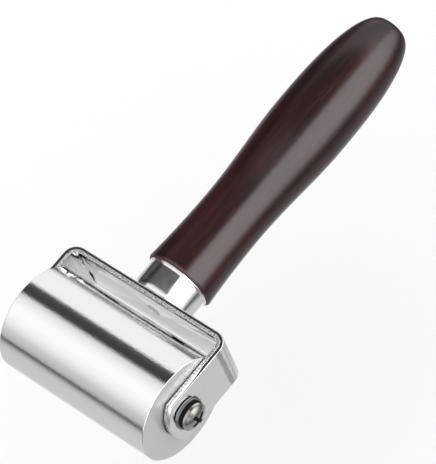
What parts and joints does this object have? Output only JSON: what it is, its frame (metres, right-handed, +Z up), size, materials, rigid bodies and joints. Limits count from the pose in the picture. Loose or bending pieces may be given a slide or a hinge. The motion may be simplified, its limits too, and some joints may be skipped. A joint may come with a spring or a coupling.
{
  "type": "press roller",
  "caption": "Hand press roller: chromed steel cylinder on ball bearings in a bent strap yoke, with a neck collar and a turned wooden handle.",
  "frame": {"origin": "centre of the roller, on its axis", "axes": "+X along the roller's axis towards the right arm, +Y from the roller to the handle, +Z up, across the flat of the strap's edge"},
  "size_m": [0.0738, 0.1604, 0.0356],
  "materials": {
    "roller_chrome": "ground and polished hard chrome",
    "yoke_chrome": "chrome plate, faces satin bright, sheared edges rough and bright",
    "collar_chrome": "polished chrome",
    "screw_steel": "nickel plated, slightly worn in the recess",
    "black_washer": "black oxide spring steel",
    "zinc_washer": "zinc plated",
    "handle_wood": "dark red-brown stained hardwood under semi-gloss lacquer",
    "brass": "turned brass",
    "ground_steel": "ground bearing steel"
  },
  "bodies": {
    "frame": {"yoke": "yoke_chrome", "neck_collar": "collar_chrome", "tang_stud": "ground_steel", "handle": "handle_wood", "handle_insert": "brass", "axle": "ground_steel", "bearing_spacer": "ground_steel", "axle_screw_left": "screw_steel", "axle_screw_right": "screw_steel", "lock_washer_left": "black_washer", "lock_washer_right": "black_washer", "flat_washer_left": "zinc_washer", "flat_washer_right": "zinc_washer", "thrust_spacer_left": "zinc_washer", "thrust_spacer_right": "zinc_washer", "bearing_inner_left": "ground_steel", "bearing_inner_right": "ground_steel"},
    "roller": {"roller": "roller_chrome", "bearing_outer_left": "ground_steel", "bearing_outer_right": "ground_steel", "bearing_shields_left": "zinc_washer", "bearing_shields_right": "zinc_washer"},
    "ball_set_left": {"bearing_cage_left": "brass", "bearing_balls_left": "ground_steel"},
    "ball_set_right": {"bearing_cage_right": "brass", "bearing_balls_right": "ground_steel"}
  },
  "joints": [
    {"name": "roller_spin", "type": "hinge", "parent": "frame", "child": "roller", "pos_m": [0, 0, 0], "axis": [1, 0, 0], "continuous": true},
    {"name": "ball_set_left_spin", "type": "hinge", "parent": "frame", "child": "ball_set_left", "pos_m": [-0.027, 0, 0], "axis": [1, 0, 0], "continuous": true},
    {"name": "ball_set_right_spin", "type": "hinge", "parent": "frame", "child": "ball_set_right", "pos_m": [0.027, 0, 0], "axis": [1, 0, 0], "continuous": true}
  ],
  "couplings": [
    {"joint": "ball_set_left_spin", "follows": "roller_spin", "ratio": 0.6},
    {"joint": "ball_set_right_spin", "follows": "roller_spin", "ratio": 0.6}
  ]
}
